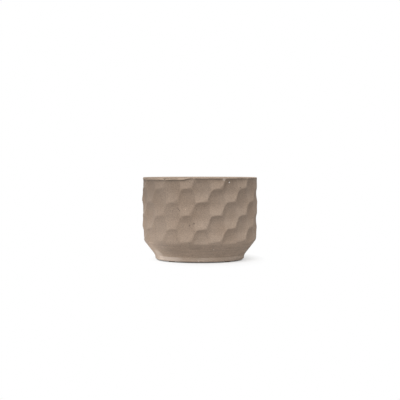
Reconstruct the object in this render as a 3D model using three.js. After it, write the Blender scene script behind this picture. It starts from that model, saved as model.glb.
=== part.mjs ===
// Stoneware plant pot with a carved wall, standing on a foot ring.
// Units are millimetres and degrees, +Z is up.
// The origin is on the pot's axis, on the surface it stands on.
// Angles go round the pot from its front, which faces -Y, towards +X.

import * as THREE from "three";

// Clay body
const RIDGE_RADIUS = 70.7;
const BODY_HEIGHT = 93.6;
const BELLY_HEIGHT = 65.6;
const BARREL_DROP = 1.3;
const WALL_THICKNESS = 4;
const FLOOR_THICKNESS = 6.5;
const SLOPE_HEIGHT = 16.6;
const SLOPE_RUN = 13;
const LIP_ROUNDING = 1.2;
const INSIDE_ROUNDING = 7;

// Carving: upright scoops in columns, each column set half a scoop higher or lower than the next.
// A scoop is deepest just below its middle, ends steeply at its top and runs out gently downwards.
// Rises are shares of its depth.
const SCOOP_COLUMNS = 24;
const SCOOP_HEIGHT = 31.1;
const LOWEST_SCOOP_EDGE = 25;
const FIRST_COLUMN_ANGLE = -13.4;
const SCOOP_LEAN = 5.1;
const SCOOP_DEPTH = 3.8;
const DEEPEST_ALONG = 0.42;
const END_RISE = 0.95;
const UPPER_POWER = 4.3;
const LOWER_POWER = 1.5;
const DEEPEST_ACROSS = -0.12;
const SIDE_RISE = 0.5;
const SIDE_POWER = 3;
const RIDGE_SOFTNESS = 0.6;

// Where the carving runs shallow: at the shoulder and the lip, and round one side of the pot
const FADE_HEIGHT = 6;
const FADE_SHARE = 0.6;
const FAINT_ANGLE = -40;
const FAINT_REACH = 30;
const FAINT_SHARE = 0.4;

// Foot ring
const FOOT_RADIUS = 54.3;
const FOOT_HEIGHT = 5.2;
const FOOT_WIDTH = 12.3;
const FOOT_TAPER = 1.3;
const FOOT_ROUNDING = 2;

// Drain hole and its plug
const DRAIN_RADIUS = 6.5;
const SEAT_DEPTH = 1.2;
const PLUG_FLANGE_RADIUS = 10;
const PLUG_FLANGE_THICKNESS = 2;
const PLUG_KNOB_RADIUS = 3.5;
const PLUG_KNOB_HEIGHT = 6;
const PLUG_EDGE_ROUNDING = 0.6;
const PLUG_STEM_RECESS = 0.6;

// Glaze lining inside the pot
const GLAZE_THICKNESS = 0.8;
const GLAZE_BELOW_RIM = 3;

// Felt pads under the foot
const PAD_COUNT = 4;
const PAD_RADIUS = 3.8;
const PAD_THICKNESS = 1.2;
const FIRST_PAD_ANGLE = 45;

// Clearances between pieces that are not joined face to face
const PLUG_CLEARANCE = 0.3;
const SEAT_CLEARANCE = 1;
const GLAZE_CLEARANCE = 0.3;

// Fineness of the meshes
const STEPS_PER_COLUMN = 6;
const RINGS_PER_SCOOP = 10;
const ROUNDING_STEPS = 3;
const TURNED_COLUMNS = 72;
const SMALL_COLUMNS = 32;

// Levels and radii that follow from the sizes above
const underside = PAD_THICKNESS + FOOT_HEIGHT;
const insideFloor = underside + FLOOR_THICKNESS;
const rim = underside + BODY_HEIGHT;
const belly = underside + BELLY_HEIGHT;
const shoulder = underside + SLOPE_HEIGHT;
const insideRadius = RIDGE_RADIUS - SCOOP_DEPTH - WALL_THICKNESS;
const wallTop = rim - LIP_ROUNDING;
const columns = SCOOP_COLUMNS * STEPS_PER_COLUMN;
const columnAngle = 360 / SCOOP_COLUMNS;

function radians(degrees) {
  return (degrees * Math.PI) / 180;
}

/** A point of a turned outline, at a radius and a height, with the radius that rounds it off. */
function corner(radius, height, rounding = 0) {
  return { radius, height, rounding };
}

/** The points of an outline, with each corner that has a rounding replaced by an arc. */
function roundedOutline(corners, steps = ROUNDING_STEPS) {
  const points = [];
  const count = corners.length;
  for (let index = 0; index < count; index += 1) {
    const at = corners[index];
    const tip = new THREE.Vector2(at.radius, at.height);
    if (at.rounding <= 0) {
      points.push(tip);
      continue;
    }
    const before = corners[(index + count - 1) % count];
    const after = corners[(index + 1) % count];
    const back = new THREE.Vector2(before.radius, before.height).sub(tip).normalize();
    const on = new THREE.Vector2(after.radius, after.height).sub(tip).normalize();
    const half = Math.acos(THREE.MathUtils.clamp(back.dot(on), -1, 1)) / 2;
    const middle = back.clone().add(on).normalize();
    const centre = tip.clone().addScaledVector(middle, at.rounding / Math.sin(half));
    const tangentLength = at.rounding / Math.tan(half);
    const first = tip.clone().addScaledVector(back, tangentLength).sub(centre);
    const last = tip.clone().addScaledVector(on, tangentLength).sub(centre);
    let turn = last.angle() - first.angle();
    turn -= 2 * Math.PI * Math.round(turn / (2 * Math.PI));
    for (let step = 0; step <= steps; step += 1) {
      const spoke = first.clone().rotateAround(new THREE.Vector2(), (turn * step) / steps);
      points.push(spoke.add(centre));
    }
  }
  return points;
}

/** A solid turned from an outline, with its axis along +Z and column 0 at the pot's front. */
function turned(outline, columnCount) {
  const geometry = new THREE.LatheGeometry(outline, columnCount);
  geometry.rotateX(Math.PI / 2);
  return geometry;
}

/** The same outline with its first point again at its end, so that the turned solid is closed. */
function closed(outline) {
  return [...outline, outline[0].clone()];
}

/** Radius of the turned wall at a height, before it is carved: a faint barrel, widest at the belly. */
function barrelRadius(height) {
  const share = (height - belly) / (belly - shoulder);
  return RIDGE_RADIUS - BARREL_DROP * share * share;
}

/** Radius of the slope that runs up from the foot to the shoulder. */
function slopeRadius(height) {
  return FOOT_RADIUS + (SLOPE_RUN * (height - underside)) / SLOPE_HEIGHT;
}

/** Share of the carving's depth that is kept: less near the shoulder and the lip, and on the faint side. */
function keptShare(angle, height) {
  const edge = Math.min(height - shoulder, wallTop - height);
  const share = THREE.MathUtils.clamp(edge / FADE_HEIGHT, 0, 1);
  const aside = (THREE.MathUtils.euclideanModulo(angle - FAINT_ANGLE + 180, 360) - 180) / FAINT_REACH;
  return (1 - FADE_SHARE * (1 - share) ** 2) * (1 - FAINT_SHARE * Math.exp(-aside * aside));
}

/** Depth of one scoop at a place in it: across from -1 to 1, and along from 0 at its lower edge to 1. */
function scoopDepth(across, along) {
  const below = Math.max(0, (DEEPEST_ALONG - along) / DEEPEST_ALONG);
  const above = Math.max(0, (along - DEEPEST_ALONG) / (1 - DEEPEST_ALONG));
  const side = across - DEEPEST_ACROSS;
  const aside = side > 0 ? side / (1 - DEEPEST_ACROSS) : -side / (1 + DEEPEST_ACROSS);
  const rise = END_RISE * (below ** LOWER_POWER + above ** UPPER_POWER) + SIDE_RISE * aside ** SIDE_POWER;
  return SCOOP_DEPTH * (1 - rise);
}

/** Depth that the wall is carved to at a place: the deepest scoop's, with softly rounded ridges. */
function carvedDepth(angle, height) {
  const nearest = Math.round((angle - FIRST_COLUMN_ANGLE) / columnAngle);
  let sum = 1;
  for (const column of [nearest - 1, nearest, nearest + 1]) {
    const stagger = Math.abs(column % 2) / 2;
    const place = (height - LOWEST_SCOOP_EDGE) / SCOOP_HEIGHT - stagger;
    const inside = place - Math.floor(place);
    for (const along of [inside - 1, inside, inside + 1]) {
      const middle = FIRST_COLUMN_ANGLE + column * columnAngle + SCOOP_LEAN * (along - 0.5);
      sum += Math.exp(scoopDepth((angle - middle) / (columnAngle / 2), along) / RIDGE_SOFTNESS);
    }
  }
  return RIDGE_SOFTNESS * Math.log(sum) * keptShare(angle, height);
}

/** Radius of the carved wall at an angle and a height, where nothing else cuts it. */
function carvedRadius(angle, height) {
  return barrelRadius(height) - carvedDepth(angle, height);
}

/** Height between two others where a growing difference passes through zero, by halving. */
function crossing(difference, low, high) {
  let [bottom, top] = [low, high];
  for (let step = 0; step < 30; step += 1) {
    const middle = (bottom + top) / 2;
    if (difference(middle) < 0) {
      bottom = middle;
    } else {
      top = middle;
    }
  }
  return (bottom + top) / 2;
}

/** Height at which the slope below meets the carved wall, at an angle. */
function shoulderHeight(angle) {
  const gap = (height) => slopeRadius(height) - carvedRadius(angle, height);
  return crossing(gap, underside, shoulder + FADE_HEIGHT);
}

/** The rings of the carved wall, from the slope up to the lip: each column's angle, radius and height. */
function carvedRings() {
  const stepAngle = 360 / columns;
  const angles = Array.from({ length: columns + 1 }, (_, column) => FIRST_COLUMN_ANGLE + column * stepAngle);
  const wallPoint = (angle, height) => ({ angle, radius: carvedRadius(angle, height), height });
  const levelRing = (height) => angles.map((angle) => wallPoint(angle, height));
  const lowestRing = angles.map((angle) => wallPoint(angle, shoulderHeight(angle)));
  const spacing = SCOOP_HEIGHT / RINGS_PER_SCOOP;
  const rings = [lowestRing];
  for (let height = LOWEST_SCOOP_EDGE + spacing; height < wallTop - spacing / 2; height += spacing) {
    rings.push(levelRing(height));
  }
  rings.push(levelRing(wallTop));
  return rings;
}

/** The lip above the carved wall: its rounded outer edge follows the carving. */
function lipRings(topRing) {
  const rings = [];
  for (let step = 1; step <= ROUNDING_STEPS; step += 1) {
    const swing = ((Math.PI / 2) * step) / ROUNDING_STEPS;
    const inset = LIP_ROUNDING * (1 - Math.cos(swing));
    const height = rim - LIP_ROUNDING * (1 - Math.sin(swing));
    rings.push(topRing.map(({ angle, radius }) => ({ angle, radius: radius - inset, height })));
  }
  return rings;
}

/** Corners of the hollow, from the lip's inner edge down to the flat floor's edge, set in by a gap. */
function hollowCorners(topHeight, gap) {
  const slopeLength = Math.hypot(SLOPE_RUN, SLOPE_HEIGHT);
  const normalShare = SLOPE_HEIGHT / slopeLength;
  const slopeThickness = WALL_THICKNESS + SCOOP_DEPTH / 2;
  const lineRadius = (height) => slopeRadius(height) - (slopeThickness + gap) / normalShare;
  const wallRadius = insideRadius - gap;
  const slopeTop = underside + ((wallRadius - lineRadius(underside)) * SLOPE_HEIGHT) / SLOPE_RUN;
  return [
    corner(wallRadius, topHeight),
    corner(wallRadius, slopeTop, INSIDE_ROUNDING),
    corner(lineRadius(insideFloor + gap), insideFloor + gap, INSIDE_ROUNDING),
  ];
}

/** Turns the diagonal of each quad of the carved wall to the way that lies nearer to the carved surface. */
function fitDiagonals(index, wall, outlineLength, firstPoint) {
  for (let column = 0; column < columns; column += 1) {
    for (let ring = 0; ring + 1 < wall.length; ring += 1) {
      const lowStart = wall[ring][column];
      const lowEnd = wall[ring][column + 1];
      const highStart = wall[ring + 1][column];
      const highEnd = wall[ring + 1][column + 1];
      const height = (lowStart.height + lowEnd.height + highStart.height + highEnd.height) / 4;
      const surface = carvedRadius((lowStart.angle + lowEnd.angle) / 2, height);
      const fallingError = Math.abs((lowEnd.radius + highStart.radius) / 2 - surface);
      const risingError = Math.abs((lowStart.radius + highEnd.radius) / 2 - surface);
      if (risingError < fallingError) {
        const lowStartPoint = column * outlineLength + firstPoint + ring;
        const highEndPoint = lowStartPoint + outlineLength + 1;
        const quad = 6 * (column * (outlineLength - 1) + firstPoint + ring);
        index.setX(quad + 2, highEndPoint);
        index.setX(quad + 5, lowStartPoint);
      }
    }
  }
}

/** The clay body: a turned vessel whose outer wall is moved in to the carved surface. */
function potBody() {
  const wall = carvedRings();
  const lip = lipRings(wall[wall.length - 1]);
  const seatRadius = PLUG_FLANGE_RADIUS + SEAT_CLEARANCE;
  const under = [new THREE.Vector2(DRAIN_RADIUS, underside), new THREE.Vector2(FOOT_RADIUS, underside)];
  const hollow = hollowCorners(rim, 0);
  const inside = roundedOutline([
    corner(insideRadius + LIP_ROUNDING * 2, rim),
    corner(insideRadius, rim, LIP_ROUNDING),
    ...hollow.slice(1),
    corner(seatRadius, insideFloor),
    corner(seatRadius, insideFloor - SEAT_DEPTH),
    corner(DRAIN_RADIUS, insideFloor - SEAT_DEPTH),
  ]).slice(1);
  const carved = [...wall, ...lip];
  const stands = carved.map((ring) => new THREE.Vector2(ring[0].radius, ring[0].height));
  const outline = closed([...under, ...stands, ...inside]);
  const geometry = turned(outline, columns);
  const position = geometry.attributes.position;
  for (let column = 0; column <= columns; column += 1) {
    for (let ring = 0; ring < carved.length; ring += 1) {
      const { angle, radius, height } = carved[ring][column];
      const index = column * outline.length + under.length + ring;
      const turn = radians(angle - FIRST_COLUMN_ANGLE);
      position.setXYZ(index, radius * Math.sin(turn), -radius * Math.cos(turn), height);
    }
  }
  fitDiagonals(geometry.index, wall, outline.length, under.length);
  geometry.rotateZ(radians(FIRST_COLUMN_ANGLE));
  return geometry;
}

/** The foot ring: a plain ring, flat on top, with a rounded outer edge below. */
function footRing() {
  const inner = FOOT_RADIUS - FOOT_WIDTH;
  return turned(
    closed(
      roundedOutline([
        corner(inner, PAD_THICKNESS),
        corner(FOOT_RADIUS - FOOT_TAPER, PAD_THICKNESS, FOOT_ROUNDING),
        corner(FOOT_RADIUS, underside),
        corner(inner, underside),
      ]),
    ),
    TURNED_COLUMNS,
  );
}

/** The glaze lining: a skin over the flat floor and up the inner wall. */
function innerGlaze() {
  const top = rim - GLAZE_BELOW_RIM;
  const [outerTop, outerSlope, outerFloor] = hollowCorners(top, GLAZE_CLEARANCE);
  const [innerTop, innerSlope, innerFloor] = hollowCorners(top, GLAZE_CLEARANCE + GLAZE_THICKNESS);
  const mouth = PLUG_FLANGE_RADIUS + SEAT_CLEARANCE;
  const surface = insideFloor + GLAZE_THICKNESS;
  return turned(
    closed(
      roundedOutline([
        corner(mouth, insideFloor),
        corner(outerFloor.radius, insideFloor, INSIDE_ROUNDING),
        outerSlope,
        outerTop,
        innerTop,
        innerSlope,
        corner(innerFloor.radius, surface, INSIDE_ROUNDING),
        corner(mouth, surface),
      ]),
    ),
    TURNED_COLUMNS,
  );
}

/** The drain plug: a stem in the hole, a flange on the seat and a knob to pull it by. */
function drainPlug() {
  const stem = DRAIN_RADIUS - PLUG_CLEARANCE;
  const seat = insideFloor - SEAT_DEPTH;
  const flangeTop = seat + PLUG_FLANGE_THICKNESS;
  const knobTop = flangeTop + PLUG_KNOB_HEIGHT;
  const foot = underside + PLUG_STEM_RECESS;
  return turned(
    roundedOutline([
      corner(0, foot),
      corner(stem, foot, PLUG_EDGE_ROUNDING),
      corner(stem, seat),
      corner(PLUG_FLANGE_RADIUS, seat),
      corner(PLUG_FLANGE_RADIUS, flangeTop, PLUG_EDGE_ROUNDING),
      corner(PLUG_KNOB_RADIUS, flangeTop, PLUG_EDGE_ROUNDING),
      corner(PLUG_KNOB_RADIUS, knobTop, PLUG_EDGE_ROUNDING),
      corner(0, knobTop),
    ]),
    SMALL_COLUMNS,
  );
}

/** A felt pad: a low round disc, standing on the surface. */
function footPad() {
  return turned(
    roundedOutline([
      corner(0, 0),
      corner(PAD_RADIUS, 0),
      corner(PAD_RADIUS, PAD_THICKNESS),
      corner(0, PAD_THICKNESS),
    ]),
    SMALL_COLUMNS,
  );
}

const stoneware = { color: 0x95887a, roughness: 0.8, metalness: 0 };
const footClay = { color: 0x9b8b7b, roughness: 0.85, metalness: 0 };
const glaze = { color: 0x6f5f50, roughness: 0.25, metalness: 0 };
const silicone = { color: 0x4a4440, roughness: 0.6, metalness: 0 };
const felt = { color: 0x5b4634, roughness: 1, metalness: 0 };

/** A named sub-part with a material of its own. */
function piece(name, geometry, finish) {
  const mesh = new THREE.Mesh(geometry, new THREE.MeshStandardMaterial(finish));
  mesh.name = name;
  return mesh;
}

const pot = new THREE.Group();
pot.add(piece("pot_body", potBody(), stoneware));
pot.add(piece("foot_ring", footRing(), footClay));
pot.add(piece("inner_glaze", innerGlaze(), glaze));
pot.add(piece("drain_plug", drainPlug(), silicone));

const padCircle = FOOT_RADIUS - (FOOT_WIDTH + FOOT_TAPER + FOOT_ROUNDING) / 2;
for (let index = 0; index < PAD_COUNT; index += 1) {
  const pad = piece(`foot_pad_${index + 1}`, footPad(), felt);
  const around = radians(FIRST_PAD_ANGLE + (index * 360) / PAD_COUNT);
  pad.position.set(padCircle * Math.sin(around), -padCircle * Math.cos(around), 0);
  pot.add(pad);
}

export default pot;
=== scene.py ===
"""Dresses the model of a stoneware plant pot: carved clay, glaze lining, drain plug and felt pads."""
import logging
import math
from dataclasses import dataclass
from enum import Enum

import bmesh
import bpy
import numpy as np
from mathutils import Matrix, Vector


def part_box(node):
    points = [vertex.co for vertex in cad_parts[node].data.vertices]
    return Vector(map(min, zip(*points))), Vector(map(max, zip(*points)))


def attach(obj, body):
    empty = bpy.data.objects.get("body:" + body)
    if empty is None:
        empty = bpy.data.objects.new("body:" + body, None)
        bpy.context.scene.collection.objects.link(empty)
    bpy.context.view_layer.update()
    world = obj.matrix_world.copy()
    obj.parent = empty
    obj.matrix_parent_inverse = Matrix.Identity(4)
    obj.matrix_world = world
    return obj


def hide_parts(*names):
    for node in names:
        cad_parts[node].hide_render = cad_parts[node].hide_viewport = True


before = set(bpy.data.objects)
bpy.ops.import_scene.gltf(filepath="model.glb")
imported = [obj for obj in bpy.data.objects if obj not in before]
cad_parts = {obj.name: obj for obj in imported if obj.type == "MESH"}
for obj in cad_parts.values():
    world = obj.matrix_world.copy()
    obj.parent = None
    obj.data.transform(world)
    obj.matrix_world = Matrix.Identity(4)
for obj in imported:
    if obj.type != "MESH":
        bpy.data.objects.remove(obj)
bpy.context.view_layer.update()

MM = 0.001
Colour = tuple[float, float, float]
Factors = tuple[float, float, float]
Pair = tuple[float, float]
WALL_CLAY: Colour = (0.36, 0.277, 0.214)
FOOT_CLAY: Colour = (0.452, 0.361, 0.29)
# Most values of a soft noise lie in the first span. The second one brings out more of its contrast.
NOISE_SPAN: Pair = (0.3, 0.7)
NOISE_CORE: Pair = (0.35, 0.65)

logging.basicConfig(level=logging.INFO, format="%(message)s")
log = logging.getLogger("pot")


class Body(Enum):
    """Bodies of the model that the pieces ride on."""

    POT = "pot"
    PLUG = "plug"


class Slot(Enum):
    """Material slots of the record, which the pieces name."""

    WALL = "stoneware_wall"
    FOOT = "foot_clay"
    GLAZE = "liner_glaze"
    PLUG = "plug_silicone"
    FELT = "pad_felt"


class Ends(Enum):
    """How a skin of rings is closed."""

    LOOP = "the last ring joins the first"
    CAPS = "the first and the last ring are filled in"


@dataclass(frozen=True)
class Corner:
    """A corner of a turned outline, with the radius that rounds it off."""

    radius: float
    height: float
    rounding: float = 0.0


@dataclass(frozen=True)
class HandWave:
    """A smooth unevenness that handwork leaves round the pot.

    Attributes:
        size: About how far it reaches to either side.
        around: Most waves in one turn.
        tall: Height of one wave, in metres.
        seed: Start of its random numbers.
        waves: How many waves are added up.
    """

    size: float
    around: int
    tall: float
    seed: int
    waves: int = 9

    def at(self, angle: np.ndarray, height: np.ndarray) -> np.ndarray:
        """Gives the unevenness at some places.

        Args:
            angle: Angles round the pot, in radians.
            height: Heights, in metres.

        Returns:
            An array like the two that were given.
        """
        random = np.random.default_rng(self.seed)
        total = np.zeros_like(angle + height)
        for _ in range(self.waves):
            turns = random.integers(0, self.around + 1)
            climb = random.uniform(-1, 1) * 2 * math.pi / self.tall
            start = random.uniform(0, 2 * math.pi)
            total += np.sin(turns * angle + climb * height + start)
        return self.size * total / math.sqrt(self.waves / 2) / 2


def rounded_outline(corners: list[Corner], steps: int = 6) -> np.ndarray:
    """Replaces each corner that has a rounding by an arc.

    Args:
        corners: Corners of a closed outline, in order.
        steps: Straight steps in each arc.

    Returns:
        The outline's points, a radius and a height in each row.
    """
    points = []
    for index, at in enumerate(corners):
        tip = np.array([at.radius, at.height])
        if at.rounding <= 0:
            points.append(tip)
            continue
        before = corners[index - 1]
        after = corners[(index + 1) % len(corners)]
        back = np.array([before.radius, before.height]) - tip
        onward = np.array([after.radius, after.height]) - tip
        back /= np.linalg.norm(back)
        onward /= np.linalg.norm(onward)
        half = math.acos(np.clip(back @ onward, -1, 1)) / 2
        middle = (back + onward) / np.linalg.norm(back + onward)
        centre = tip + middle * at.rounding / math.sin(half)
        first = tip + back * at.rounding / math.tan(half) - centre
        last = tip + onward * at.rounding / math.tan(half) - centre
        start = math.atan2(first[1], first[0])
        turn = math.atan2(last[1], last[0]) - start
        turn -= 2 * math.pi * round(turn / (2 * math.pi))
        for step in range(steps + 1):
            swing = start + turn * step / steps
            points.append(centre + at.rounding * np.array([math.cos(swing), math.sin(swing)]))
    return np.array(points)


def spaced(outline: np.ndarray, longest: float) -> np.ndarray:
    """Adds points to an open outline so that none of its steps is long.

    Args:
        outline: Points, a radius and a height in each row.
        longest: The longest step that is left, in metres.

    Returns:
        The outline with the added points.
    """
    points = [outline[0]]
    for start, end in zip(outline[:-1], outline[1:]):
        steps = max(1, math.ceil(np.linalg.norm(end - start) / longest))
        for step in range(1, steps + 1):
            points.append(start + (end - start) * step / steps)
    return np.array(points)


def ring_points(angle: np.ndarray, radius: np.ndarray, height: np.ndarray) -> np.ndarray:
    """Places points round the pot's axis, at angles that go from the front, -Y, towards +X.

    Args:
        angle: Angles, in radians.
        radius: Distances from the axis.
        height: Heights.

    Returns:
        The points, with X, Y and Z along the last axis.
    """
    angle, radius, height = np.broadcast_arrays(angle, radius, height)
    return np.stack([radius * np.sin(angle), -radius * np.cos(angle), height], axis=-1)


def full_turn(columns: int) -> np.ndarray:
    """Gives evenly spaced angles all round, in radians."""
    return np.arange(columns) * 2 * math.pi / columns


def turned(outline: np.ndarray, columns: int) -> np.ndarray:
    """Turns an outline round the pot's axis.

    Args:
        outline: Points, a radius and a height in each row.
        columns: Points in each ring.

    Returns:
        One ring of points for each point of the outline.
    """
    return ring_points(full_turn(columns), outline[:, :1], outline[:, 1:])


def push_out(rings: np.ndarray, amount: np.ndarray) -> None:
    """Moves the points of turned rings straight away from the pot's axis.

    Args:
        rings: The rings, which are changed.
        amount: How far each point moves.
    """
    turn = full_turn(rings.shape[1])
    rings[..., 0] += amount * np.sin(turn)
    rings[..., 1] -= amount * np.cos(turn)


def skin(name: str, rings: np.ndarray, ends: Ends, facet_angle: float = 40.0) -> bpy.types.Object:
    """Joins rings of points into one closed surface.

    Args:
        name: The piece's name.
        rings: Rings of points, all with as many points.
        ends: How the surface is closed.
        facet_angle: Edges sharper than this many degrees stay sharp.

    Returns:
        The new object, with its faces turned out.
    """
    count, columns = rings.shape[:2]
    last = count if ends is Ends.LOOP else count - 1
    here = np.arange(columns)
    after = np.roll(here, -1)
    faces = []
    for ring in range(last):
        low = ring * columns
        high = (ring + 1) % count * columns
        faces.append(np.stack([low + here, low + after, high + after, high + here], axis=1))
    mesh = bpy.data.meshes.new(name)
    quads = np.concatenate(faces).tolist()
    if ends is Ends.CAPS:
        quads.append(list(range(columns)))
        quads.append(list(range((count - 1) * columns, count * columns)))
    mesh.from_pydata(rings.reshape(-1, 3).tolist(), [], quads)
    shape = bmesh.new()
    shape.from_mesh(mesh)
    bmesh.ops.recalc_face_normals(shape, faces=shape.faces)
    shape.to_mesh(mesh)
    shape.free()
    mesh.polygons.foreach_set("use_smooth", [True] * len(mesh.polygons))
    mesh.set_sharp_from_angle(angle=math.radians(facet_angle))
    piece = bpy.data.objects.new(name, mesh)
    bpy.context.scene.collection.objects.link(piece)
    return piece


def store(piece: bpy.types.Object, name: str, values: np.ndarray, rest: float = 0.0) -> None:
    """Stores a value from 0 to 1 at each point of a piece, for its finish to read.

    Args:
        piece: The piece.
        name: The value's name.
        values: Values of the piece's first points, in order.
        rest: Value of all the points after them.
    """
    stored = np.full(len(piece.data.vertices), rest, np.float32)
    stored[:values.size] = values.ravel()
    piece.data.attributes.new(name, "FLOAT", "POINT").data.foreach_set("value", np.clip(stored, 0, 1))


def settle(piece: bpy.types.Object, body: Body, slot: Slot, finish: bpy.types.Material, *nodes: str) -> None:
    """Dresses a piece, lets it ride on its body and lets it stand for its nodes of the model.

    Args:
        piece: The piece.
        body: The body that it moves with.
        slot: The record's material slot. It is not used.
        finish: Its material.
        *nodes: The model's nodes that it replaces.
    """
    piece.data.materials.append(finish)
    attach(piece, body.value)
    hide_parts(*nodes)
    log.info("%s: %d faces, in place of %s", piece.name, len(piece.data.polygons), ", ".join(nodes))


@dataclass(frozen=True)
class Spots:
    """Round spots of one kind, scattered over a surface.

    Attributes:
        spacing: Distance between the places where a spot may be.
        radius: Largest radius of a spot.
        held: Share of the places that hold one.
        edge: Width of a spot's soft edge, as a share of the largest radius.
    """

    spacing: float
    radius: float
    held: float
    edge: float = 1 / 3


class Nodes:
    """The nodes of a material or of the world, with short ways to add and to join them."""

    def __init__(self, tree: bpy.types.NodeTree) -> None:
        """Takes the node tree that the nodes go into."""
        self.tree = tree

    def add(self, kind: str) -> bpy.types.Node:
        """Adds a node of a kind."""
        return self.tree.nodes.new(kind)

    def join(self, source: object, target: bpy.types.NodeSocket) -> None:
        """Feeds a socket from another one, or sets it to a value.

        Args:
            source: A socket, a number or a colour.
            target: The socket that takes it.
        """
        if isinstance(source, bpy.types.NodeSocket):
            self.tree.links.new(source, target)
        elif isinstance(source, tuple):
            target.default_value = (*source, 1.0)
        else:
            target.default_value = source

    def math(self, operation: str, first: object, second: object) -> bpy.types.NodeSocket:
        """Combines two values.

        Args:
            operation: Name of the operation.
            first: A socket or a number.
            second: A socket or a number.

        Returns:
            The result's socket.
        """
        node = self.add("ShaderNodeMath")
        node.operation = operation
        self.join(first, node.inputs[0])
        self.join(second, node.inputs[1])
        return node.outputs[0]

    def show(self, share: object, first: bpy.types.Node, second: bpy.types.Node, output: str) -> None:
        """Mixes two surface shaders and feeds the tree's output with them.

        Args:
            share: How much of the second one shows.
            first: The first shader's node.
            second: The second shader's node.
            output: Name of the output node.
        """
        mix = self.add("ShaderNodeMixShader")
        self.join(share, mix.inputs["Fac"])
        self.join(first.outputs[0], mix.inputs[1])
        self.join(second.outputs[0], mix.inputs[2])
        self.join(mix.outputs[0], self.tree.nodes[output].inputs["Surface"])


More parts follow.
